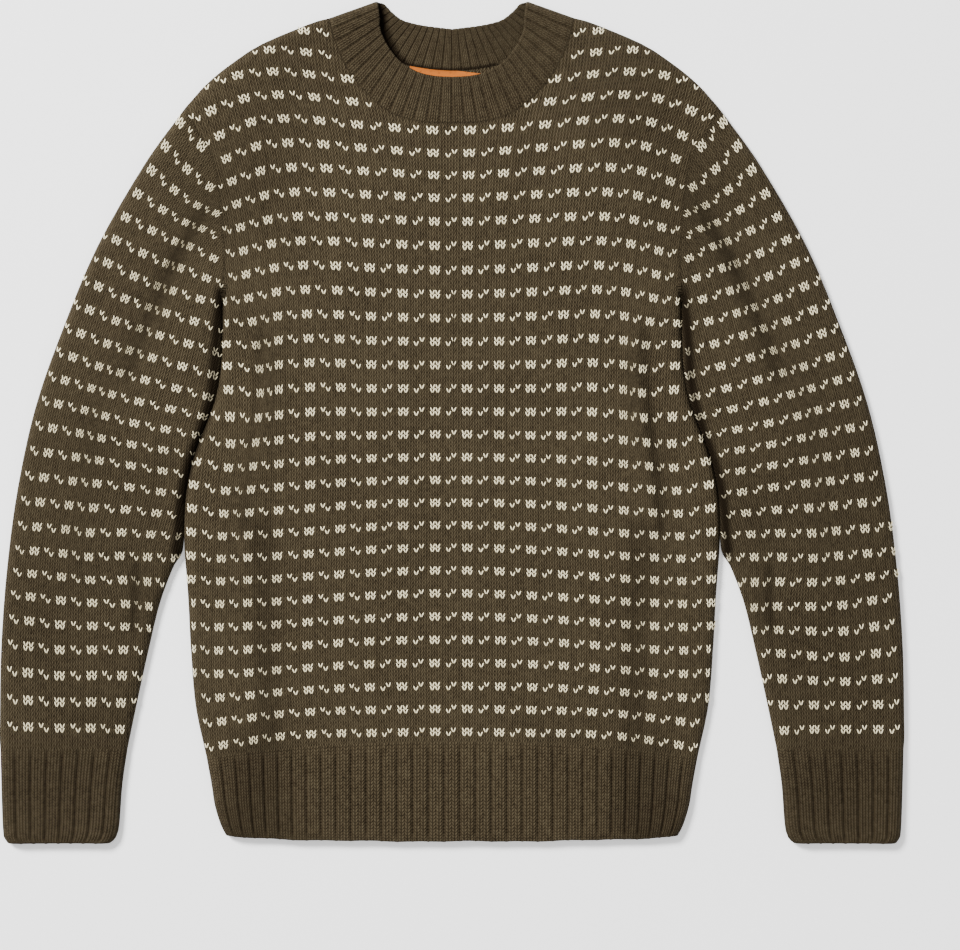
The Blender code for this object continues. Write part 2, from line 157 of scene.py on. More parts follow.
# Creases on both sides of the garment: the height of their crest or trough, how wide they are
# towards the outside and towards the middle, how much of them the left and the right side
# show, and their line.
CREASES = (
    # armpit roll and flank hollow
    (4.6, 5.5, 16.0, 1.0, 0.94,
     ((151, 88), (153.6, 35.5), (157.7, -6), (164.3, -47.5), (169.3, -89), (170, -124))),
    (-1.6, 13.0, 15.0, 1.0, 1.0, ((161, -70), (155, -120), (152.5, -200), (152, -290), (152, -346))),
    # sleeve, forearm and elbow
    (-2.2, 6.0, 11.0, 0.9, 1.0, ((209.2, 176.6), (231.6, 136.7), (253.2, 96.1), (271.4, 48), (283.9, 18.9))),
    (-1.6, 6.0, 5.0, 1.0, 0.8, ((263, -108), (261.8, -147), (264.5, -182))),
    (-0.9, 14.0, 10.0, 0.7, 1.0, ((230, -20), (243, -55), (250, -92))),
    # breast, waist and shoulder
    (0.8, 13.0, 10.0, 0.5, 1.0, ((26, 176), (6, 100), (-10, 40), (-24, -8))),
    (-0.7, 16.0, 12.0, 1.0, 0.4, ((60, 30), (84, -40), (92, -120), (90, -200))),
    (0.7, 12.0, 12.0, 0.6, 1.0, ((150, 292), (160, 240), (162, 190), (158, 140))),
)
CREASE_RUNS = 12  # straight runs that a crease's line is cut into
CREASE_MARGIN = 0.3  # how much of a run is left out of the sine at each end
CREASE_FULLNESS = 0.7  # the sine's power: below 1, a crease keeps its height for longer


def quarter_round(distance, radius):
    """Rises from 0 at a fold to 1 at the radius: sqrt(1 - (1 - d/r) squared)."""
    return np.sqrt(np.clip(1 - (1 - np.minimum(distance / radius, 1)) ** 2, 0, 1))


def gap_to(xy, paths):
    """Distance from each point to the nearest of some chains: for each straight run, the foot
    is the point's projection on it, kept between its ends, and the least distance counts."""
    least = np.full(xy.shape[:-1], np.inf)
    for path in paths:
        for start, run in zip(path[:-1], np.diff(path, axis=0)):
            along = np.clip(((xy - start) @ run) / max(run @ run, 1e-9), 0, 1)
            foot = start + along[..., None] * run
            least = np.minimum(least, np.linalg.norm(xy - foot, axis=-1))
    return least


def on_one_side(xy):
    """The same places with x as the distance from the middle."""
    return np.stack([np.abs(xy[..., 0]), xy[..., 1]], axis=-1)


def crease_relief(xy):
    """Height that the creases add: height * ends * exp(-(distance / width) squared), where
    ends is a sine that dies out at both ends of the line."""
    total = np.zeros(xy.shape[:-1])
    flat = on_one_side(xy)
    for height, outer, inner, left, right, points in CREASES:
        line = traced(points, CREASE_RUNS + 1)
        least = np.full(flat.shape[:-1], np.inf)
        place = np.zeros(flat.shape[:-1])
        beyond = np.zeros(flat.shape[:-1], bool)
        for k, (start, run) in enumerate(zip(line[:-1], np.diff(line, axis=0))):
            along = np.clip(((flat - start) @ run) / (run @ run), 0, 1)
            away = flat - start - along[..., None] * run
            reach = np.linalg.norm(away, axis=-1)
            nearer = reach < least
            least = np.where(nearer, reach, least)
            place = np.where(nearer, (k + along + CREASE_MARGIN) / (CREASE_RUNS + 2 * CREASE_MARGIN), place)
            beyond = np.where(nearer, away[..., 0] > 0, beyond)
        ends = np.sin(np.pi * place) ** CREASE_FULLNESS
        share = np.where(xy[..., 0] > 0, left, right)
        total += height * share * ends * np.exp(-(least / np.where(beyond, outer, inner)) ** 2)
    return total


print("creases on each side:", len(CREASES))

# %% [markdown]
# A face on top is the quarter round plus the creases, and one underneath rests on the floor. Both
# are functions of x and y, so the cream stitches can ask for the cloth's height at any place.

# %% Faces of the cloth
outer_fold = np.vstack([traced(SHOULDER, 12),
                        traced(SLEEVE_OUTER, 28)[1:]])
BODY_FOLDS = [outer_fold, traced(BODY_SIDE, 36)]
SLEEVE_FOLDS = [outer_fold, traced(SLEEVE_INNER, 40)]
NECK_FOLDS = [np.array([SHOULDER[0], NECK_FRONT_EDGE[0]])]
HEM_FOLDS = [traced(HEM_SIDE, 12)]
CUFF_FOLDS = [traced(CUFF_OUTER, 12), traced(CUFF_INNER, 12)]


def top_face(xy, folds, raised=0.0):
    """Height of cloth on top: MID + q * (LOFT - MID + creases * softness) + q * raised, with q
    the quarter round of the distance to the nearest fold."""
    gap = gap_to(on_one_side(xy), folds)
    q = quarter_round(gap, ROUND)
    return MID + q * (LOFT - MID + crease_relief(xy) * quarter_round(gap, 3 * ROUND)) + q * raised


def floor_face(xy, folds):
    """Height of cloth underneath: (MID - LIFT) * (1 - q) + LIFT, flat but for its round folds."""
    return (MID - LIFT) * (1 - quarter_round(gap_to(on_one_side(xy), folds), MID)) + LIFT


def unit_normals(points, wrap):
    """Unit normals of a grid: the cross product of its steps down and across, upwards where the
    columns run towards -X. With wrap, the last column is next to the first."""
    down = np.gradient(points, axis=0)
    if wrap:
        across = np.roll(points, -1, axis=1) - np.roll(points, 1, axis=1)
    else:
        across = np.gradient(points, axis=1)
    normal = np.cross(across, down)
    return normal / np.maximum(np.linalg.norm(normal, axis=-1, keepdims=True), 1e-9)


print("height at the middle of the front:", round(float(top_face(np.array([[0.0, 0.0]]), BODY_FOLDS)[0]), 2))

# %% [markdown]
# ## Meshes from grids
#
# A knitted piece is a wall of cloth with two faces. Blender's Solidify modifier can thicken a
# surface, but here the ribs stand on one face only, so both faces are worked out. A tube is a
# grid that wraps round both ways: down its outer face, round the edge and back up its inner one.


# %% Grid helpers
def grid_faces(rows, columns, wrap_rows=False, wrap_columns=False):
    """Quads between the neighbours of a grid, as rows of four indices."""
    index = np.arange(rows * columns).reshape(rows, columns)
    if wrap_rows:
        index = np.vstack([index, index[:1]])
    if wrap_columns:
        index = np.hstack([index, index[:, :1]])
    corners = (index[:-1, :-1], index[:-1, 1:], index[1:, 1:], index[1:, :-1])
    return np.stack(corners, axis=-1).reshape(-1, 4)


def add_object(name, data, place=(0, 0, 0)):
    """A new object in the scene."""
    thing = bpy.data.objects.new(name, data)
    thing.location = place
    bpy.context.scene.collection.objects.link(thing)
    return thing


def make_piece(name, points, faces, **numbers):
    """A mesh object from points in millimetres and faces. Its faces are turned outwards: the sum
    of corner . (edge x edge) over all triangles is six times the volume, and is above zero
    then. Each named array becomes an attribute of the points, for the materials to read."""
    points = np.asarray(points, float).reshape(-1, 3)
    a, b, c = (points[faces[:, k]] for k in range(3))
    volume = (a * np.cross(b, c)).sum()
    if faces.shape[1] == 4:
        d = points[faces[:, 3]]
        volume += (a * np.cross(c, d)).sum()
    if volume < 0:
        faces = faces[:, ::-1]
    mesh = bpy.data.meshes.new(name)
    mesh.from_pydata((points * MM).tolist(), [], faces.tolist())
    for key, values in numbers.items():
        values = np.asarray(values, np.float32)
        kind, entry = ("FLOAT_VECTOR", "vector") if values.size == points.size else ("FLOAT", "value")
        mesh.attributes.new(key, kind, "POINT").data.foreach_set(entry, values.ravel())
    mesh.shade_smooth()
    mesh.set_sharp_from_angle(angle=1.0)
    thing = add_object(name, mesh)
    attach(thing, "root")
    triangles = len(faces) * (faces.shape[1] - 2)
    print(f"{name}: {triangles} triangles, {abs(volume) / 6000:.1f} cm3")
    return thing


def rim(outer, inner):
    """Three rows that carry a wall's outer face round its free edge to its inner face: half a circle,
    centre + cos(t) * half the wall + sin(t) * radius * outward."""
    centre, half = (outer[-1] + inner[-1]) / 2, (outer[-1] - inner[-1]) / 2
    outward = outer[-1] - outer[-2]
    outward /= np.maximum(np.linalg.norm(outward, axis=-1, keepdims=True), 1e-9)
    radius = np.linalg.norm(half, axis=-1, keepdims=True)
    turns = np.linspace(0, np.pi, 5)[1:-1, None, None]
    return centre + np.cos(turns) * half + np.sin(turns) * radius * outward


def even_steps(length, spacing, end=True):
    """Fractions along a length: close together over a rounded fold at its start and, if wanted,
    at its end, and even between."""
    low = np.array((0.0, 0.35, 0.9, 1.7, 2.8, 4.2, 6.2, ROUND))
    high = length - low[::-1] if end else np.full(1, length)
    count = max(int((high[0] - low[-1]) / spacing), 1)
    middle = np.linspace(low[-1], high[0], count + 1)[1:-1]
    return np.concatenate([low, middle, high]) / length


def closed_sheet(over, under):
    """Points and quads of a flat piece: each row is a loop along its face and back along its
    lining, and the first and the last loop are closed."""
    rows, columns = over.shape[:2]
    loops = np.concatenate([over, under[:, ::-1]], axis=1)
    faces = [grid_faces(rows, 2 * columns, wrap_columns=True)]
    index = np.arange(rows * 2 * columns).reshape(rows, 2 * columns)
    for ring, turn in ((index[0], 1), (index[-1], -1)):
        near, far = ring[:columns], ring[::-1][:columns]
        quads = np.stack([near[:-1], far[:-1], far[1:], near[1:]], axis=-1)
        faces.append(quads[:, ::turn])
    return loops, np.vstack(faces)


def patch(top, bottom, start, end):
    """Surface inside four edge curves (a Coons patch): the sum of the two blends between facing
    edges, less the blend of the four corners."""
    u, v = arc_fractions(top)[None, :, None], arc_fractions(start)[:, None, None]
    corners = ((1 - u) * (1 - v) * top[0] + u * (1 - v) * top[-1]
               + (1 - u) * v * bottom[0] + u * v * bottom[-1])
    return (1 - v) * top[None] + v * bottom[None] + (1 - u) * start[:, None] + u * end[:, None] - corners


print("a 3 by 4 grid has", len(grid_faces(3, 4)), "faces")

# %% [markdown]
# ## Where each stitch lies
#
# Stocking stitch has columns of stitches, called wales, and rows of them, called courses. Folded
# cloth has its wales closer or wider and its courses bent, so a short table says where some of
# them lie, and smooth curves through it place all the others. Courses count up from the hem or
# cuff, six to a band. Wales count from the body's middle, or from near a sleeve's outer fold.

# %% Gauge tables in mm
REPEAT = 6  # wales across, and courses up, in one repeat of the pattern
READ_STEPS = 14  # steps in which a place's wale and course are found
FARTHEST_STEP = (9, 18)  # wales and courses that one of them may cross

# band: (x, y) of these wales of the body
BODY_WALES = (0, 15, 27, 33, 39, 45, 51)
BODY_BANDS = {
    -3: ((0, -332), (66, -333), (116, -335), (141, -337), (162, -339), (186, -343), (207, -347)),
    1: ((0, -256), (66, -257), (116, -258), (142, -260), (164, -263), (189, -267), (213, -271)),
    4: ((0, -199), (68, -200), (119, -203), (145, -205), (168, -207), (193, -208), (215, -207)),
    7: ((0, -141), (67, -143), (119, -146), (145, -148), (169, -149), (192, -150), (216, -149)),
    12: ((0, -47), (66, -48), (117, -51), (143, -53), (166, -55), (187, -56), (214, -51)),
    14: ((0, -9), (66, -10), (117, -11), (143, -14), (162, -16), (183, -17), (210, -12)),
    16: ((0, 29), (66, 29), (117, 30), (143, 28), (158, 25), (185, 28), (209, 27)),
    20: ((0, 107), (67, 109), (121, 111), (145, 109), (168, 104), (190, 101), (214, 98)),
    24: ((0, 187), (71, 190), (130, 192), (155, 189), (178, 182), (201, 177), (226, 170)),
    27: ((0, 243), (78, 248), (139, 253), (166, 250), (192, 239), (217, 228), (243, 216)),
    29: ((0, 283), (86, 286), (148, 292), (177, 289), (206, 280), (234, 268), (262, 254)),
    31: ((0, 319), (90, 323), (153, 328), (182, 326), (212, 318), (241, 306), (270, 292)),
}

# band: (x, y) of these wales of a sleeve
SLEEVE_WALES = (3, 9, 15, 21, 27)
SLEEVE_BANDS = {
    -3: ((352, -332), (326, -333), (300, -333), (276, -333), (252, -334)),
    1: ((352, -252), (326, -253), (300, -253), (276, -254), (251, -255)),
    4: ((352, -185), (326, -188), (299, -188), (273, -188), (249, -189)),
    6: ((350, -144), (325, -147), (299, -149), (271, -150), (252, -152)),
    8: ((347, -106), (323, -108), (302, -111), (276, -110), (253, -111)),
    11: ((339, -45), (315, -48), (295, -50), (268, -53), (242, -57)),
    14: ((327, 16), (305, 11), (288, 6), (264, 0), (238, -5)),
    16: ((315, 55), (293, 47), (276, 42), (255, 36), (229, 29)),
    18: ((301, 94), (279, 85), (260, 79), (243, 73), (219, 66)),
    20: ((286, 133), (264, 122), (245, 114), (232, 110), (209, 103)),
    22: ((271, 171), (249, 160), (230, 151), (218, 147), (198, 137)),
    25: ((238, 230), (220, 211), (201, 196), (184, 188), (165, 176)),
    27: ((214, 270), (196, 250), (178, 232), (162, 220), (145, 208)),
}
# The left sleeve is pulled a little longer above its cuff.
LEFT_SLEEVE_BANDS = {
    **SLEEVE_BANDS,
    1: ((355, -254), (328, -254), (302, -254), (277, -255), (252, -256)),
    4: ((353, -191), (327, -194), (300, -193), (274, -191), (250, -191)),
    6: ((350, -147), (325, -151), (299, -152), (271, -152), (252, -153)),
    8: ((346, -108), (322, -110), (301, -112), (275, -111), (252, -111)),
}


def ease(knots, values, at):
    """Smooth curve through values at rising knots: the cubic whose slope at a knot is that of
    its neighbours' chord. Past either end it goes straight on."""
    slope = np.gradient(values, knots, axis=0)
    k = np.clip(np.searchsorted(knots, at) - 1, 0, len(knots) - 2)
    span = (knots[k + 1] - knots[k])[:, None]
    t = (np.asarray(at) - knots[k])[:, None] / span
    s = np.clip(t, 0, 1)
    inside = ((1 + 2 * s) * (1 - s) ** 2 * values[k] + s * (1 - s) ** 2 * span * slope[k]
              + s ** 2 * (3 - 2 * s) * values[k + 1] - s ** 2 * (1 - s) * span * slope[k + 1])
    return inside + np.minimum(t, 0) * span * slope[k] + np.maximum(t - 1, 0) * span * slope[k + 1]


class Gauge:
    """Turns wales and courses into places on the flat garment, and back."""

    def __init__(self, wales, bands, shift, mirror=False):
        """The table's places, all moved by the shift, are as the camera sees them. So they are
        drawn in, towards the middle line at the view's height, by the cloth's height over the
        camera's."""
        rows = np.array([bands[b] for b in sorted(bands)], float)
        self.wales = np.array(wales, float)
        if mirror:
            rows = np.concatenate([rows[:, :0:-1] * MIRROR, rows], axis=1)
            self.wales = np.concatenate([-self.wales[:0:-1], self.wales])
        rows += shift
        middle = np.array((0.0, VIEW_CENTRE[1] / MM))
        self.courses = REPEAT * np.array(sorted(bands), float)
        self.rows = middle + (rows - middle) * (1 - LOFT * MM / CAMERA_HEIGHT)

    def place(self, wale, course):
        """Place of each stitch: the table's points weighed by the smooth curve's own weights
        along the wales and along the courses."""
        across = ease(self.wales, np.eye(len(self.wales)), np.ravel(wale))
        up = ease(self.courses, np.eye(len(self.courses)), np.ravel(course))
        spots = np.einsum("nb,nw,bwk->nk", up, across, self.rows, optimize=True)
        return spots.reshape(np.shape(wale) + (2,))

    def read(self, xy):
        """Wale and course at each place, found by steps that shrink the miss: from a first
        guess, the place's miss is turned into stitches with the map's own slopes."""
        flat = xy.reshape(-1, 2)
        wale = np.full(len(flat), self.wales.mean())
        course = np.full(len(flat), self.courses.mean())
        for _ in range(READ_STEPS):
            here = self.place(wale, course)
            ax, ay = ((self.place(wale + 0.5, course) - here) * 2).T
            bx, by = ((self.place(wale, course + 0.5) - here) * 2).T
            x, y = (flat - here).T
            size = ax * by - ay * bx
            far_wale, far_course = FARTHEST_STEP
            wale = wale + np.clip((x * by - y * bx) / size, -far_wale, far_wale)
            course = course + np.clip((ax * y - ay * x) / size, -far_course, far_course)
        return np.stack([wale, course], axis=-1).reshape(xy.shape)

    def plain_knit(self, points):
        """Wale, course and no rib at each point, for the material to read."""
        stitch = self.read(points[..., :2])
        return np.dstack([stitch, np.zeros(stitch.shape[:2])])


body_gauge = Gauge(BODY_WALES, BODY_BANDS, shift=(-0.6, -0.5), mirror=True)
sleeve_gauges = {1: Gauge(SLEEVE_WALES, LEFT_SLEEVE_BANDS, shift=(-1.0, -0.5)),
                 -1: Gauge(SLEEVE_WALES, SLEEVE_BANDS, shift=(-0.4, -0.5))}
check = body_gauge.read(body_gauge.place(np.array([20.5]), np.array([60.5]))[None])[0, 0]
print("stitch 20.5, 60.5 is found again at", np.round(check, 3))

# %% [markdown]
# ## Front and back
#
# The front is one knitted panel. Its grid fills four edges, and its columns crowd at the side
# folds, where the cloth turns over. The back has a shallower neck and rests on the floor.

# %% Front and back panels
SPACING = 4.6  # mm between the points of a plain stretch of cloth


def panel_grid(neck_seam):
    """Places of a body panel: columns run from shoulders and neck to the hem. Their x is that of
    their top, times the side's own swing weighed by the square of the share across."""
    shoulder = smooth_path(SHOULDER[::-1], even_steps(path_length(SHOULDER), SPACING, end=False))
    neck = traced(neck_seam, int(path_length(neck_seam) / SPACING))
    top = both_halves(np.vstack([shoulder, neck[1:]]))
    armhole = smooth_path(ARMHOLE, even_steps(path_length(ARMHOLE), SPACING))
    side = traced(BODY_SIDE, int(path_length(BODY_SIDE) / SPACING))
    edge = np.vstack([armhole, side[1:]])
    share = np.abs(top[:, 0]) / edge[0, 0]
    x = top[:, 0] * (1 + (edge[:, :1] / edge[0, 0] - 1) * share ** 2)
    down = (edge[:1, 1] - edge[:, 1:]) / (edge[0, 1] - edge[-1, 1])
    hem = traced(HEM_TOP, 40)[::-1]
    bottom = np.interp(np.abs(x[-1]), hem[:, 0], hem[:, 1])
    return np.dstack([x, (1 - down) * top[:, 1] + down * bottom])


def make_panel(name, neck_seam, face):
    """A body panel: its outer face, and an inner face one wall further in along the normals."""
    xy = panel_grid(neck_seam)
    outer = np.dstack([xy, face(xy, BODY_FOLDS)])
    normals = unit_normals(outer, wrap=False)
    normals *= (1 if face is top_face else -1) * np.sign(normals[..., 2:].mean())
    loops, faces = closed_sheet(outer, outer - WALL * normals)
    return make_piece(name, loops, faces, stitch=body_gauge.plain_knit(loops), shade=cloth_shade(loops))


# %% [markdown]
# The light of a room fades in the deep gap between body and sleeve and where cloth is crowded
# together. Soft lights reach too far into such places, so the pieces carry a number, called
# shade, that deepens the yarn's colour there.

# %% Shade in the deep places
# The depth, the width in mm and the line of each shaded place, on both sides of the garment.
SHADED_LINES = (
    # between the body and the sleeve, and along the armpit roll
    (0.97, 4.6, ((191, 108), (194, 83), (195.6, 61), (197, 41), (199.8, 20), (205.4, 0), (212, -18),
                 (218, -36), (224.6, -66), (226.6, -90), (228, -108))),
    (0.35, 5.0, ((158.5, 75), (161, 30), (163, 0), (168.5, -47), (172, -90))),
    # the flanks and the sides of the hem
    (0.30, 12.0, ((156, -90), (152, -180), (150, -270), (150, -346))),
    (0.34, 30.0, ((160, -282), (162, -338))),
    # under the front band
    (0.80, 1.3, ((0, 292.4), (16.6, 293.6), (36, 296.9))),
    # the creases of the sleeve, the forearm and the elbow
    (0.42, 6.0, ((206, 177), (217, 156), (229, 136), (243, 108), (257, 74), (268, 40))),
    (0.55, 4.0, ((262, -120), (262.5, -145), (264.5, -170))),
    (0.18, 12.0, ((238, -30), (246, -60), (250, -92))),
    # the seams
    (0.35, 1.5, ARMHOLE),
    (0.22, 1.2, NECK_FRONT_SEAM),
    # the shoulders and the lower sleeves, as wide faint shade
    (0.15, 45.0, ((125, 292), (155, 245), (190, 190))),
    (0.16, 75.0, ((310, -60), (315, -270))),
)


def cloth_shade(points):
    """How much darker the yarn is at each point: the deepest of depth * exp(-(distance / width)
    cubed) over the shaded lines."""
    flat = on_one_side(points)
    deepest = np.zeros(flat.shape[:-1])
    for depth, width, line in SHADED_LINES:
        deepest = np.maximum(deepest, depth * np.exp(-(gap_to(flat, [traced(line, 18)]) / width) ** 3))
    return deepest


front = make_panel("front_knit", NECK_FRONT_SEAM, top_face)
back = make_panel("back_knit", NECK_BACK_SEAM, floor_face)

# %% [markdown]
# ## Sleeves
#
# A set-in sleeve is a tapering tube pressed flat. Its grid runs from the armhole to the wrist,
# across its upper layer from the outer fold to the inner one, and back along its lower layer.


# %% Sleeves and other flattened tubes
SLEEVE_SPACING = 5.5  # mm between points across the sleeve
SLEEVE_STEP = 4.4  # mm between points along it


def ring_of(upper, lower):
    """One closed ring of columns from two layers that share their folds."""
    return np.concatenate([upper, lower[:, -2:0:-1]], axis=1)


def make_tube(name, upper, lower, stitch, side, inner_raised=0.0, free_edge=True, shading=cloth_shade):
    """A flattened tube of cloth: outer face, round the free edge, and back up the inner face,
    which is one wall in along the normals but never under the outer one. For the other side, x
    is turned round."""
    outer = ring_of(upper, lower)
    normals = unit_normals(outer, wrap=True)
    normals *= np.sign(normals[:, 1:upper.shape[1] - 1, 2].mean())
    inner = outer - (WALL + np.broadcast_to(inner_raised, outer.shape[:2]))[..., None] * normals
    inner[..., 2] = np.maximum(inner[..., 2], LIFT)
    edge = rim(outer, inner) if free_edge else np.zeros((0,) + outer.shape[1:])
    skin = np.concatenate([outer, edge, inner[::-1]])
    along = np.concatenate([stitch, np.repeat(stitch[-1:], len(edge), axis=0), stitch[::-1]])
    faces = grid_faces(*skin.shape[:2], wrap_rows=True, wrap_columns=True)
    shade = shading(skin)
    if side < 0:
        skin = skin * (-1, 1, 1)
    return make_piece(name, skin, faces, stitch=along, shade=shade)


def make_sleeve(name, side):
    """A sleeve from the armhole to the wrist."""
    armhole = smooth_path(ARMHOLE, even_steps(path_length(ARMHOLE), SLEEVE_SPACING))
    inner_edge = traced(SLEEVE_INNER, int(path_length(SLEEVE_INNER) / SLEEVE_STEP))
    outer_edge = smooth_path(SLEEVE_OUTER, arc_fractions(inner_edge))
    wrist = outer_edge[-1] + arc_fractions(armhole)[:, None] * (inner_edge[-1] - outer_edge[-1])
    xy = patch(armhole, wrist, outer_edge, inner_edge)
    upper = np.dstack([xy, top_face(xy * (side, 1), SLEEVE_FOLDS)])
    lower = np.dstack([xy, floor_face(xy, SLEEVE_FOLDS)])
    stitch = sleeve_gauges[side].plain_knit(ring_of(upper, lower))
    return make_tube(name, upper, lower, stitch, side, free_edge=False)


sleeves = [make_sleeve("sleeve_left_knit", 1), make_sleeve("sleeve_right_knit", -1)]

# %% [markdown]
# ## Ribs
#
# The hem, the cuffs and the neckband are ribbed: two columns of knit stitches stand up between
# single columns of purl, which sink and close up. Each rib is a rounded ridge of the outer face,
# and its stitches are left to the material. The hem's ribs are drawn closer at its sides, and
# all ridges fade out at a ribbing's first and last courses, which lie nearly flat.

# %% Rib profile
RIB_HEIGHT = 1.1  # mm from groove to crown
NECK_RIB_HEIGHT = 0.75
HEM_RIBS = 33
HEM_CROWDING = 0.09  # share by which the middle ribs are wider than even
CUFF_RIBS = 8
NECK_RIBS = 28
RIB_WALES = 3  # two knit wales and one purl wale
RIB_STEPS = np.array((0.0, 0.04, 0.1, 0.17, 0.26, 0.4, 0.6, 0.74, 0.83, 0.9, 0.96))
CLIMB = 0.34  # share of half a rib in which it climbs from groove to crown
PURL_SHARE = 0.2  # how much of a rib's width the purl wale still shows
FADES = (0.1, 0.07)  # shares of a ribbing's depth in which its ridges start and end
LOWER_SPACING = 8.0  # mm between points across a plain lower layer


def rib_places(ribs, tall=RIB_HEIGHT):
    """Places across a ribbed piece from 0 to 1, crowded near the grooves, and the ridges' height
    there: a quarter of a sine from the groove up to a level crown, half above the plain face
    and half below it."""
    places = np.append((np.arange(ribs)[:, None] + RIB_STEPS).ravel() / ribs, 1.0)
    climb = np.minimum(np.append(np.tile(1 - np.abs(2 * RIB_STEPS - 1), ribs), 0.0) / CLIMB, 1)
    return places, tall * (np.sin(np.pi / 2 * climb) - 0.5)


def edge_fade(depth):
    """How much of a ridge's height is left: none at the first course, all of it a tenth of the way
    down, and none again at the free edge."""
    return np.minimum(np.minimum(depth / FADES[0], (1 - depth) / FADES[1]), 1)


def layer_pair(upper_xy, lower_xy, folds, raised):
    """Upper layer with ribs on its face and the plain lower layer."""
    upper = np.dstack([upper_xy, top_face(upper_xy, folds, raised)])
    lower = np.dstack([lower_xy, floor_face(lower_xy, folds)])
    return upper, lower


def rib_stitches(ribs, places, lower_places, courses, fade):
    """Wale, course and the ridge's share over a ribbed tube: wales run with the ribs, courses
    down the rows. Each groove is the middle of a purl wale, drawn in to its share of the rib."""
    turns = np.concatenate([places, lower_places[-2:0:-1]]) * ribs
    half = PURL_SHARE / 2
    within_rib = np.interp(turns - np.floor(turns), (0, half, 1 - half, 1), (0.0, 0.5, 2.5, 3.0))
    wale = np.floor(turns) * RIB_WALES + within_rib + 0.5
    return np.dstack(np.broadcast_arrays(wale[None, :], courses[:, None], fade[:, None]))


places, raised = rib_places(HEM_RIBS)
print("points across the hem:", len(places), "ridge height:", round(raised.max() - raised.min(), 2), "mm")

# %% Hem
COURSE = 2.4  # mm between courses in ribbing
RIM = WALL / 2  # the free edge's roll reaches this far past its last row
EDGE_WAVE = 0.5  # mm that the hem's free edge waves


def hem_rows(across, depth):
    """Places of the hem. The middle ribs hang straight down and only the outer ones follow the
    side: x is across * middle + (across to the seventh) * (side - middle). Two slow sines make
    the free edge wave a little."""
    side = smooth_path(HEM_SIDE, depth)
    middle = side[:, :1].mean()
    top = traced(HEM_TOP, 40)[::-1]
    low = traced(HEM_BOTTOM, 40)[::-1]
    x = across[None] * middle + across[None] ** 7 * (side[:, :1] - middle)
    y_top = np.interp(np.abs(x[0]), top[:, 0], top[:, 1])
    y_low = np.interp(np.abs(x[-1]), low[:, 0], low[:, 1]) + RIM
    drop = ((side[:, 1] - side[0, 1]) / (side[-1, 1] - side[0, 1]))[:, None]
    wave = EDGE_WAVE * np.sin(x / 9.0) * np.sin(x / 23.0 + 1) * drop ** 6
    return np.dstack([x, y_top + drop * (y_low - y_top) + wave])


def make_hem():
    """Ribbed hem: a short tube below the front and back, pulled in towards its lower edge."""
    depth = np.concatenate([[0.0, 0.02, 0.05], np.linspace(0.1, 0.92, 12), [0.96, 1.0]])
    plain = 1 - 2 * even_steps(2 * HEM_TOP[0][0], LOWER_SPACING)
    across = 1 - 2 * places
    across = across * (1 + HEM_CROWDING * (1 - across ** 2))
    fade = edge_fade(depth)
    upper, lower = layer_pair(hem_rows(across, depth), hem_rows(plain, depth), HEM_FOLDS,
                              raised * fade[:, None])
    courses = -depth * path_length(HEM_SIDE) / COURSE
    stitch = rib_stitches(HEM_RIBS, places, (1 - plain) / 2, courses, fade)
    return make_tube("hem_ribbing", upper, lower, stitch, 1)


hem = make_hem()


# %% Cuffs
CUFF_BOW = 0.9  # mm by which the free edge's middle is higher than its ends


def make_cuff(name, side):
    """Ribbed cuff: a short tube below the sleeve with rounded lower corners and a bowed edge."""
    places, raised = rib_places(CUFF_RIBS)
    depth = np.concatenate([[0.0, 0.02, 0.05], np.linspace(0.1, 0.92, 13), [0.96, 1.0]])
    outer, inner = smooth_path(CUFF_OUTER, depth), smooth_path(CUFF_INNER, depth)
    plain = even_steps(CUFF_OUTER[0][0] - CUFF_INNER[0][0], LOWER_SPACING)

    def rows(across):
        xy = outer[:, None] + across[None, :, None] * (inner - outer)[:, None]
        xy[..., 1] += RIM * depth[:, None] + CUFF_BOW * np.sin(np.pi * across) * depth[:, None] ** 6
        return xy

    fade = edge_fade(depth)
    upper, lower = layer_pair(rows(places), rows(plain), CUFF_FOLDS, raised * fade[:, None])
    courses = -depth * path_length(CUFF_OUTER) / COURSE
    stitch = rib_stitches(CUFF_RIBS, places, plain, courses, fade)
    return make_tube(name, upper, lower, stitch, side)


cuffs = [make_cuff("cuff_left_ribbing", 1), make_cuff("cuff_right_ribbing", -1)]

# %% [markdown]
# ## Neckband and label
#
# The neckband is a ring of ribbing. Its front half lies over its back half, which shows its
# inside through the neck, ribbed as well, with a plain orange label sewn on below it.


# %% Neckband
NECKBAND_DEPTH = 34.0  # mm from the seam to the free edge
NECK_START = 0.08  # share of it in which the ridges start
INSIDE_RAISED = 0.3  # mm that the inside of the back band stands out further
CRESCENT = ((294, 2.2), (299, 4.1), (305, 4.8), (313, 6.1), (322, 7.2), (334, 6.2), (345, 4.5), (350, 2.5))


def neck_rows(seam, edge, across, height):
    """Places of half a neckband: from the seam line to the free edge, share by share."""
    half = across[across <= 0.5] * 2
    low, high = smooth_path(seam, half), smooth_path(edge, half)
    rows = (1 - height) * low[None] + height * high[None]
    return np.concatenate([rows, (rows[:, ::-1] * MIRROR)[:, 1:]], axis=1)


def neck_shade(points):
    """The cloth's shade, and the dark crescent that the front band's edge throws on the inside of
    the back band at the right of the wearer: exp(-(distance / width) to the sixth), with a
    width for each y."""
    edge = smooth_path(NECK_FRONT_EDGE, np.linspace(0, 0.72, 18)) * MIRROR
    width = np.interp(points[..., 1], *zip(*CRESCENT))
    crescent = np.exp(-(gap_to(points[..., :2], [edge]) / width) ** 6)
    return np.maximum(cloth_shade(points), crescent * np.clip(MID + 3.5 - points[..., 2], 0, 1))


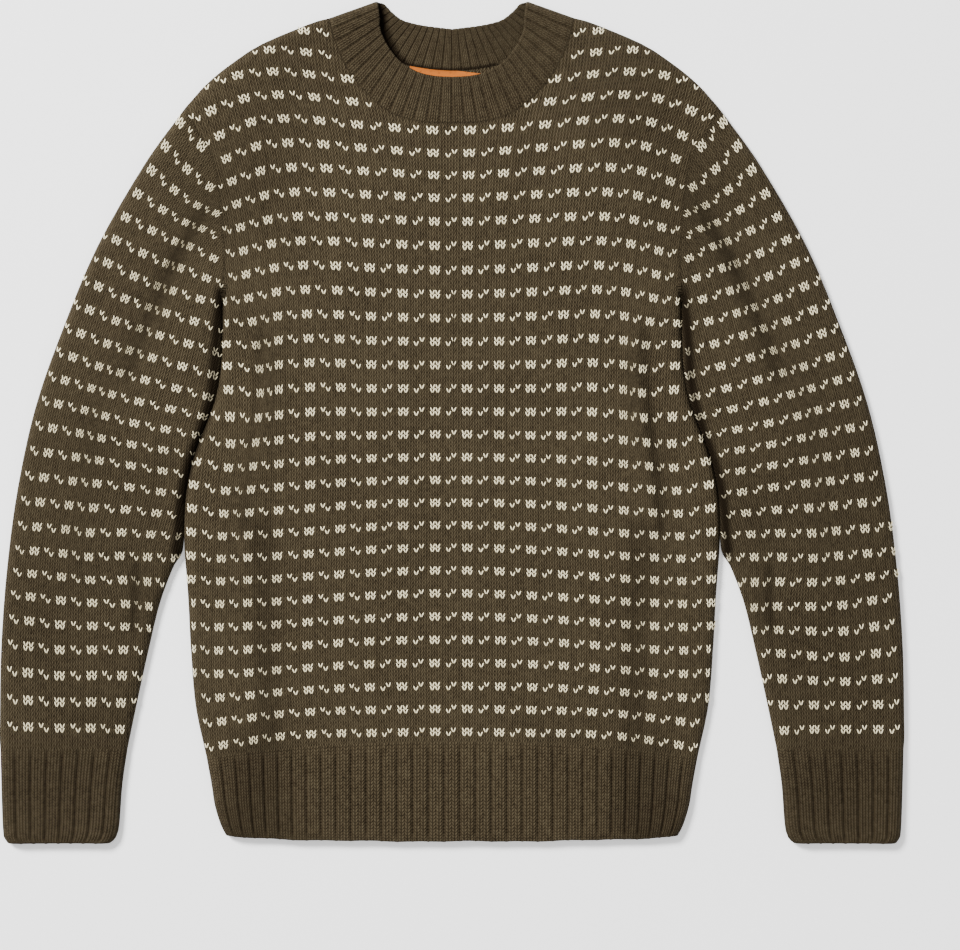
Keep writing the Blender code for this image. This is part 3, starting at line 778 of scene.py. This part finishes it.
def make_neckband():
    """Neckband: front half on top, back half on the floor, one ring of ribs all round."""
    places, raised = rib_places(NECK_RIBS, NECK_RIB_HEIGHT)
    height = np.concatenate([[0.0, 0.03], np.linspace(NECK_START, 0.92, 12), [0.965]])[:, None, None]
    front_rows = neck_rows(NECK_FRONT_SEAM, NECK_FRONT_EDGE, places, height)
    back_rows = neck_rows(NECK_BACK_SEAM, NECK_BACK_EDGE, places, height)
    start = np.minimum(height[..., 0] / NECK_START, 1)
    upper, lower = layer_pair(front_rows, back_rows, NECK_FOLDS, raised * start - 0.5 * (1 - start))
    inside = np.concatenate([np.zeros(len(places)), raised[-2:0:-1] + INSIDE_RAISED])
    courses = height.ravel() * NECKBAND_DEPTH / COURSE
    stitch = rib_stitches(NECK_RIBS, places, places, courses, start.ravel())
    return make_tube("neckband_ribbing", upper, lower, stitch, 1, inner_raised=inside, shading=neck_shade)


neckband = make_neckband()


# %% Label
LABEL_GAP = 0.6  # mm between the seam and the label
LABEL_SLIP = 4.4  # mm more at its left end, as worn


def make_label():
    """Plain woven label on the inside of the back: a thin bent sheet in its solid's box. Its
    left end, as worn, is sewn a little lower than the seam."""
    low, high = (np.array(corner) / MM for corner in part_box("neck_label"))
    x = np.linspace(low[0], high[0], 30)
    seam = traced(NECK_BACK_SEAM, 60)[::-1]
    slip = LABEL_SLIP * np.clip((x - 2) / 22, 0, 1) ** 1.3
    top = np.interp(np.abs(x), seam[:, 0], seam[:, 1]) - LABEL_GAP - slip
    drop = np.linspace(0, 1, 14)[:, None]
    y = top[None] - drop * (top[None] - low[1])
    wave = 0.35 * np.sin(x / 11.0) * np.sin(np.pi * drop)
    over = np.dstack([np.broadcast_to(x, y.shape), y, high[2] + wave + 0.2])
    loops, faces = closed_sheet(over, over - (0, 0, high[2] - low[2]))
    return make_piece("label_cloth", loops, faces, shade=0.6 * cloth_shade(loops))


label = make_label()

# %% [markdown]
# ## The cream motifs
#
# Each repeat is a block of two by two stitches and a pair of single ones, one low and one high,
# charted here. Each stitch is a real form: two plump legs that lean together at the foot
# of a V. Thousands are worked out at once: one leg's points, in parts of a stitch, are added to
# every stitch's wale and course, and the gauge places them all as the cloth bends and crowds.

# %% Chart and leg
CHART = ("#.##..",  # the upper course of the two, wale by wale towards +X from the middle
         "..##.#")         # the lower course; four plain courses lie between the bands
LEG_FOOT = (0.05, -0.70)  # (wales, courses) from the stitch's centre to the leg's foot
LEG_HEAD = (0.41, 0.64)
LEG_WIDTH = 0.128  # half the leg's width in wales
LEG_RINGS = ((0.2, 0.82), (0.58, 1.0), (0.88, 0.78))  # (share along the leg, girth)
LEG_SIDES = 5


def one_leg():
    """Points of one leg as (wales, courses, height share): rings round a straight line from its
    foot to its head, thin at both ends, and a point at each end."""
    turn = 2 * np.pi * np.arange(LEG_SIDES) / LEG_SIDES
    foot, head = np.array(LEG_FOOT), np.array(LEG_HEAD)
    points = [np.array([[*foot, 0.0]])]
    for along, girth in LEG_RINGS:
        spot = foot + along * (head - foot)
        ring = np.column_stack([spot[0] + LEG_WIDTH * girth * np.sin(turn), np.full(LEG_SIDES, spot[1]),
                                girth * np.cos(turn)])
        points.append(ring)
    points.append(np.array([[*head, 0.0]]))
    return np.vstack(points)


def leg_faces():
    """Triangles of one leg: a fan at each end and two per side between rings."""
    k = np.arange(LEG_SIDES)
    j = (k + 1) % LEG_SIDES
    last = len(LEG_RINGS) * LEG_SIDES + 1
    fans = [np.column_stack([np.zeros_like(k), 1 + k, 1 + j]),
            np.column_stack([np.full_like(k, last), last - LEG_SIDES + j, last - LEG_SIDES + k])]
    for ring in range(len(LEG_RINGS) - 1):
        a = 1 + ring * LEG_SIDES
        b = a + LEG_SIDES
        fans += [np.column_stack([a + k, b + k, b + j]), np.column_stack([a + k, b + j, a + j])]
    return np.vstack(fans)


print("triangles in one stitch:", 2 * len(leg_faces()))


# %% Which stitches are cream
def charted(wales, bands, flip_below):
    """Centres of the cream stitches as (wale, course), over a range of wales and bands. In wales
    below a number, the two courses change places, so that the pair leans the other way."""
    cells = np.arange(*wales)
    marks = np.array([[mark == "#" for mark in row] for row in CHART])
    found = []
    for row, rise in ((0, 0.5), (1, -0.5)):
        on = np.where(cells < flip_below, marks[1 - row, cells % REPEAT], marks[row, cells % REPEAT])
        wale, band = np.meshgrid(cells[on] + 0.5, np.arange(*bands))
        found.append(np.column_stack([wale.ravel(), REPEAT * band.ravel() + rise]))
    return np.vstack(found)


def inside(xy, outline):
    """True where a point lies within a closed chain: a ray from it crosses an odd number of
    the chain's runs."""
    crossings = np.zeros(xy.shape[:-1], int)
    for (x0, y0), (x1, y1) in zip(outline, np.roll(outline, -1, axis=0)):
        spans = (y0 > xy[..., 1]) != (y1 > xy[..., 1])
        slope = (x1 - x0) / (y1 - y0) if y1 != y0 else 0.0
        crossings += spans & (xy[..., 0] < x0 + slope * (xy[..., 1] - y0))
    return crossings % 2 == 1


def within(gauge, stitches, outline, margin):
    """The stitches whose centres are inside an outline and clear of its edge by a margin."""
    spots = gauge.place(stitches[:, 0], stitches[:, 1])
    kept = inside(spots, outline) & (gap_to(spots, [np.vstack([outline, outline[:1]])]) > margin)
    return stitches[kept]


# %% Build the motifs
STITCH_PROUD = 0.62  # half the height of a leg, mm
FLAT_PROUD = 0.3  # the same on the underside
STITCH_SUNK = 0.18  # how far its middle lies under the cloth's face, mm
NUDGE = 0.4  # step for the slope of the cloth, mm
SWAY = 0.025  # how unevenly the stitches lie, in wales
PLUMP = 0.06  # and how unevenly thick they are, as a share


def make_motifs(name, gauge, stitches, face, folds, side=1, proud=STITCH_PROUD):
    """All the cream legs of one piece: one leg's points added to every stitch, left leg and right
    leg, placed by the gauge and raised along the cloth's normal."""
    leg, faces = one_leg(), leg_faces()
    rng = np.random.default_rng(len(stitches))
    sway = rng.normal(0, SWAY, (len(stitches), 1))
    plump = 1 + rng.normal(0, PLUMP, (len(stitches), 1))
    parts, tints = [], []
    for lean in (1, -1):
        wale = stitches[:, :1] + sway + lean * leg[None, :, 0]
        course = stitches[:, 1:] + leg[None, :, 1]
        xy = gauge.place(wale, course)
        at = xy * (side, 1)
        z = face(at, folds)
        dx = (face(at + (NUDGE, 0), folds) - z) / NUDGE * side
        dy = (face(at + (0, NUDGE), folds) - z) / NUDGE
        facing = 1.0 if face is top_face else -1.0
        normal = np.stack([-dx, -dy, np.ones_like(dx)], axis=-1) * facing
        normal /= np.linalg.norm(normal, axis=-1, keepdims=True)
        height = plump * proud * leg[None, :, 2] - STITCH_SUNK * proud / STITCH_PROUD
        points = np.concatenate([xy, z[..., None]], axis=-1) + height[..., None] * normal
        parts.append(points.reshape(-1, 3))
        tints.append(np.broadcast_to(rng.random((len(stitches), 1)), wale.shape).ravel())
    points = np.vstack(parts) * (side, 1, 1)
    step = len(leg) * np.arange(len(stitches))[:, None, None]
    right = (faces + step).reshape(-1, 3)
    left = right[:, ::-1] + len(leg) * len(stitches)
    return make_piece(name, points, np.vstack([right, left]),
                      tint=np.concatenate(tints), shade=cloth_shade(points))


def chain_of(lines, count):
    """Smooth curves one after the other."""
    return np.vstack([traced(line, count) for line in lines])


def body_outline(neck_seam):
    """Closed outline of a body panel."""
    chain = chain_of((HEM_TOP[::-1], BODY_SIDE[::-1], ARMHOLE[::-1], SHOULDER[::-1], neck_seam), 40)
    return np.vstack([chain, chain[::-1] * MIRROR])


sleeve_outline = chain_of((ARMHOLE, SLEEVE_INNER, SLEEVE_OUTER[::-1]), 60)
body_stitches = charted((-54, 54), (1, 33), flip_below=-16)
sleeve_stitches = charted((-12, 50), (1, 29), flip_below=50)
front_motifs = make_motifs("front_motifs", body_gauge,
                           within(body_gauge, body_stitches, body_outline(NECK_FRONT_SEAM), 1.2),
                           top_face, BODY_FOLDS)
back_motifs = make_motifs("back_motifs", body_gauge,
                          within(body_gauge, body_stitches, body_outline(NECK_BACK_SEAM), 1.2),
                          floor_face, BODY_FOLDS, proud=FLAT_PROUD)
sleeve_motifs = []
for name, side in (("left", 1), ("right", -1)):
    gauge = sleeve_gauges[side]
    kept = within(gauge, sleeve_stitches, sleeve_outline, 1.0)
    for layer, face, proud in (("upper", top_face, STITCH_PROUD), ("lower", floor_face, FLAT_PROUD)):
        sleeve_motifs.append(make_motifs(f"sleeve_{name}_{layer}_motifs", gauge, kept, face,
                                         SLEEVE_FOLDS, side, proud))

# %% [markdown]
# ## Writing a material as sums
#
# A material is a graph of nodes. One small class holds a socket and adds a Math node for each
# + - * / or **, and one method adds any other node.


# %% Shader helpers
def sums(operation, turned=False):
    """An operator that adds one Math node, with its two values the other way round if turned."""
    if turned:
        return lambda self, other: self.math(operation, other, self)
    return lambda self, other: self.math(operation, self, other)


class Wire:
    """A socket that can be used in sums: a + b, 1 - a, a * b, a / b and a ** b."""

    __add__, __radd__ = sums("ADD"), sums("ADD", turned=True)
    __sub__, __rsub__ = sums("SUBTRACT"), sums("SUBTRACT", turned=True)
    __mul__, __rmul__ = sums("MULTIPLY"), sums("MULTIPLY", turned=True)
    __truediv__, __rtruediv__ = sums("DIVIDE"), sums("DIVIDE", turned=True)
    __pow__ = sums("POWER")

    def __init__(self, finish, socket):
        self.finish, self.socket = finish, socket

    def math(self, operation, *values):
        """One Math node."""
        return self.finish.node("ShaderNodeMath", {"operation": operation}, values)

    def whole(self):
        """The whole number below the value."""
        return self.math("FLOOR", self)

    def fract(self):
        """What is left after the whole number."""
        return self.math("FRACT", self)

    def from_middle(self):
        """From 0 at the middle of each whole step to 1 at its ends: 2 * |fract - 1/2|."""
        return self.math("ABSOLUTE", self.fract() - 0.5) * 2

    def clamp(self):
        """Kept between 0 and 1."""
        return self.math("MINIMUM", self.math("MAXIMUM", self, 0.0), 1.0)


class Finish:
    """A material in the making, round one Principled shader."""

    def __init__(self, name, **constants):
        self.data = bpy.data.materials.new(name)
        self.data.use_nodes = True
        self.tree = self.data.node_tree
        self.shader = self.tree.nodes["Principled BSDF"]
        for key, value in constants.items():
            self.shader.inputs[key.replace("_", " ")].default_value = value

    def put(self, socket, value):
        """Links a wire to a socket, or sets a plain value."""
        if isinstance(value, Wire):
            self.tree.links.new(value.socket, socket)
        else:
            socket.default_value = value

    def node(self, kind, settings=None, inputs=(), output=0):
        """Adds a node: settings first, then its inputs by place or by name."""
        made = self.tree.nodes.new(kind)
        for key, value in (settings or {}).items():
            if key == "stops":
                while len(made.color_ramp.elements) < len(value):
                    made.color_ramp.elements.new(0.5)
                for element, (position, colour) in zip(made.color_ramp.elements, value):
                    element.position, element.color = position, (*colour, 1.0)
            else:
                setattr(made, key, value)
        pairs = inputs.items() if isinstance(inputs, dict) else enumerate(inputs)
        for key, value in pairs:
            self.put(made.inputs[key], value)
        return Wire(self, made.outputs[output])

    def attribute(self, name, output="Fac"):
        """A number or vector that the mesh's points carry."""
        return self.node("ShaderNodeAttribute", {"attribute_name": name}, output=output)

    def split(self, vector):
        """The three numbers of a vector."""
        parts = self.node("ShaderNodeSeparateXYZ", inputs=(vector,)).socket.node
        return [Wire(self, socket) for socket in parts.outputs]

    def noise(self, scale, detail, place=None):
        """Cloudy noise over the piece, in Object coordinates if no other place is given."""
        place = place or self.node("ShaderNodeTexCoord", output="Object")
        return self.node("ShaderNodeTexNoise", inputs={"Vector": place, "Scale": scale, "Detail": detail})

    def mix(self, share, one, other):
        """A colour between two."""
        return self.node("ShaderNodeMix", {"data_type": "RGBA"}, {"Factor": share, 6: one, 7: other}, 2)

    def complete(self, colour, height, distance, strength):
        """The material, with its colour and the relief of a height that stands the distance high,
        in metres."""
        relief = self.node("ShaderNodeBump", inputs={"Strength": strength, "Distance": distance,
                                                     "Height": height})
        self.put(self.shader.inputs["Base Color"], colour)
        self.put(self.shader.inputs["Normal"], relief)
        return self.data


print("shader helpers ready")

# %% [markdown]
# ## Yarn and knit
#
# Stocking stitch looks like rows of Vs. With a as the distance from the wale's middle, from 0 to
# 1, and c as the course, a leg's place along itself is the part of (c - lean * a) after the
# whole number. Legs are rounded both ways in the bump, and each leg's crown is painted paler and
# the lines between legs are painted darker, as painted highlight and painted shade, which give
# the knit its fine columns. Wool is dull, so the finish is rough with hardly any gloss.

# %% Knit materials
OLIVE = (0.0372, 0.0270, 0.0147, 1.0)
# the deepest olive: painted shade mixes every piece towards it in shaded places
OLIVE_PAINTED_SHADE = (0.0065, 0.0040, 0.0017, 1.0)
# pale yarn, and also the painted highlight on the crown of each leg
OLIVE_PALE = (0.0680, 0.0540, 0.0311, 1.0)
CREAM = (0.98, 0.88, 0.60, 1.0)
CREAM_SHADOW = (0.62, 0.52, 0.32, 1.0)
ORANGE = (0.42, 0.11, 0.010, 1.0)
ORANGE_DEEP = (0.17, 0.045, 0.006, 1.0)


def knit_height(wale, course, lean):
    """Height of stocking stitch from 0 to 1: round across each leg times round along it. The
    leg's middle moves outwards from its foot to its head by 0.6 * lean of the half wale."""
    a = wale.from_middle()
    along = course - a * lean
    across = (a - 0.5 - (along.fract() - 0.5) * (0.6 * lean)) / 0.47
    return (1 - across * across).clamp() * (1 - along.from_middle() ** 3.0)


def knit_finish(name, ribbed, painted_shade_factor=1.0, groove=0.0):
    """Olive wool: a painted highlight on the crown of each leg, and painted shade between legs, in
    shaded places, on the purl wales and down the core of each groove. Some wales are paler than
    others for a few courses, and each leg is a little paler or deeper at random, as hand-wound
    yarn is. A factor below one dims a whole piece's yarn as painted shade."""
    finish = Finish(name, Roughness=0.95, Specular_IOR_Level=0.05)
    wale, course, ridge = finish.split(finish.attribute("stitch", "Vector"))
    height = knit_height(wale, course, 0.45 if ribbed else 0.85)
    shade = finish.attribute("shade")
    if ribbed:
        rib = ((wale - 0.5) / RIB_WALES).from_middle()
        purl = ((rib - 0.66) * 9).clamp() * ridge
        bead = 1 - course.from_middle() ** 2.0
        height = height * (1 - purl) + bead * purl * 0.6
        # painted shade on the purl wales and down the core of each groove
        shade = (shade + 0.12 * purl + groove * rib ** 8.0 * ridge).clamp()
    fibre = finish.noise(1500.0, 3.0)
    heather = finish.noise(330.0, 2.0)
    cloud = finish.noise(14.0, 2.0)
    yarn = finish.node("ShaderNodeCombineXYZ", inputs=(wale * 0.8, course * 0.3, 0.0))
    streak = finish.noise(1.0, 1.0, yarn)
    legs = finish.node("ShaderNodeCombineXYZ", inputs=((wale * 2).whole(), course.whole(), 0.0))
    chance = finish.node("ShaderNodeTexWhiteNoise", inputs={"Vector": legs})
    # the crown of each leg is painted paler and the lines between legs darker, as painted highlight and
    # painted shade; the noises below make the yarn paler or deeper at random
    crown = 0.6 * height + 0.06 if ribbed else 0.78 * height
    light = (crown + 0.55 * heather + 0.4 * fibre + 0.35 * streak + 0.3 * cloud + 0.2 * chance - 0.69).clamp()
    # the ramp's low end, a quarter of the olive, is the painted shade between legs
    stops = [(place, [c * depth * painted_shade_factor for c in colour[:3]])
             for place, depth, colour in ((0.0, 0.25, OLIVE), (0.4, 1.0, OLIVE), (1.0, 1.0, OLIVE_PALE))]
    colour = finish.node("ShaderNodeValToRGB", {"stops": stops}, (light,))
    return finish.complete(finish.mix(shade, colour, OLIVE_PAINTED_SHADE), height + 0.35 * fibre, 0.0014, 0.75)


def cream_finish():
    """Cream wool: a little warmer and deeper from stitch to stitch at random, with fine fibres, and mixed
    towards the deepest olive by painted shade in shaded places.
    """
    finish = Finish("cream_wool", Roughness=0.9, Specular_IOR_Level=0.15)
    fibre = finish.noise(2200.0, 3.0)
    share = (0.2 * finish.attribute("tint") + 0.4 * fibre - 0.14).clamp()
    yarn = finish.mix(share, CREAM, CREAM_SHADOW)
    return finish.complete(finish.mix(finish.attribute("shade") * 0.85, yarn, OLIVE_PAINTED_SHADE), fibre, 0.0004, 0.6)


def label_finish():
    """Orange woven ribbon: fine crossed threads with darker flecks, and painted shade where it lies under the
    front band.
    """
    finish = Finish("orange_ribbon", Roughness=0.75, Specular_IOR_Level=0.15)
    x, y, _ = finish.split(finish.node("ShaderNodeTexCoord", output="Object"))
    weave = (y * 1800).from_middle() * (x * 1400).from_middle()
    fleck = (finish.noise(260.0, 3.0) * 7 - 3.9).clamp()
    ribbon = finish.mix((fleck * 0.6 + weave * 0.2).clamp(), ORANGE, ORANGE_DEEP)
    return finish.complete(finish.mix(finish.attribute("shade"), ribbon, OLIVE_PAINTED_SHADE), weave, 0.0002, 0.6)


# The sleeves, hem, cuffs and neckband are copies of the knit dimmed as a whole by a factor below one as
# painted shade; the ribbings also get painted shade down their grooves.
knit = knit_finish("olive_stocking_stitch", ribbed=False)
sleeve_knit = knit_finish("olive_sleeve_stitch", ribbed=False, painted_shade_factor=0.97)
ribbing = knit_finish("olive_ribbing", ribbed=True, painted_shade_factor=0.95, groove=0.62)
cuff_ribbing = knit_finish("olive_cuff_ribbing", ribbed=True, painted_shade_factor=0.86, groove=0.55)
neck_ribbing = knit_finish("olive_neck_ribbing", ribbed=True, painted_shade_factor=0.93, groove=0.5)
cream = cream_finish()
ribbon = label_finish()
for material, things in ((knit, (front, back)), (sleeve_knit, sleeves), (ribbing, (hem,)),
                         (cuff_ribbing, cuffs), (neck_ribbing, (neckband,)), (ribbon, (label,)),
                         (cream, (front_motifs, back_motifs, *sleeve_motifs))):
    for thing in things:
        thing.data.materials.append(material)
    print(material.name, "on", [thing.name for thing in things])

# %% [markdown]
# ## What each piece stands for
#
# Each knitted piece takes its solid's place, and the solid is hidden. Half the surface of each
# piece, the area of its cloth, is printed.

for thing, node in ((front, "front_panel"), (back, "back_panel"), (sleeves[0], "sleeve_left"),
                    (sleeves[1], "sleeve_right"), (hem, "hem_rib"), (cuffs[0], "cuff_left"),
                    (cuffs[1], "cuff_right"), (neckband, "neckband"), (label, "neck_label")):
    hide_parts(node)


def cloth_area(thing):
    """Half the surface of a wall with two faces, in square metres."""
    return sum(p.area for p in thing.data.polygons) / 2


for thing in (front, back, *sleeves, hem, *cuffs, neckband, label):
    print(thing.name, "cloth area in m2:", round(cloth_area(thing), 4))

# %% [markdown]
# ## Floor, light and camera
#
# The jumper is seen from straight above on a white floor. One large soft light stands at the
# upper left, as the short shadows at the lower right show. A weak one from the lower right and a
# pale sky fill the rest.

# %% Stage
FLOOR_REACH = 4.0  # how far the floor goes each way, in metres
FLOOR_DROP = 0.0002  # how far it lies under the cloth


def make_floor():
    """A wide flat floor just under the cloth."""
    signs = ((-1, -1), (1, -1), (1, 1), (-1, 1))
    corners = [(x * FLOOR_REACH, y * FLOOR_REACH, -FLOOR_DROP) for x, y in signs]
    mesh = bpy.data.meshes.new("floor")
    mesh.from_pydata(corners, [], [(0, 1, 2, 3)])
    floor = add_object("floor", mesh)
    paper = Finish("white_paper", Roughness=0.9, Base_Color=(0.95, 0.95, 0.95, 1.0),
                   Emission_Color=(1.0, 1.0, 1.0, 1.0), Emission_Strength=0.45)
    mesh.materials.append(paper.data)


def make_light(name, place, energy, size):
    """A square area light that faces the middle of the floor."""
    data = bpy.data.lights.new(name, "AREA")
    data.energy, data.size = energy, size
    light = add_object(name, data, place)
    light.rotation_euler = (-light.location).to_track_quat("-Z", "Y").to_euler()


def make_camera():
    """A camera straight above: it stands off by the view's width times lens over sensor."""
    data = bpy.data.cameras.new("camera")
    data.lens, data.sensor_width = LENS, SENSOR
    camera = add_object("camera", data, (*VIEW_CENTRE, CAMERA_HEIGHT))
    bpy.context.scene.camera = camera
    return camera


make_floor()
make_light("window", (-2.9, 2.5, 3.5), 800.0, 1.5)
make_light("fill", (1.7, -1.3, 1.9), 20.0, 1.6)
world = bpy.data.worlds.new("room")
world.use_nodes = True
sky = world.node_tree.nodes["Background"]
sky.inputs["Color"].default_value = (1.0, 1.0, 1.0, 1.0)
sky.inputs["Strength"].default_value = 0.5
bpy.context.scene.world = world
camera = make_camera()
print("camera at", [round(c, 3) for c in camera.location])
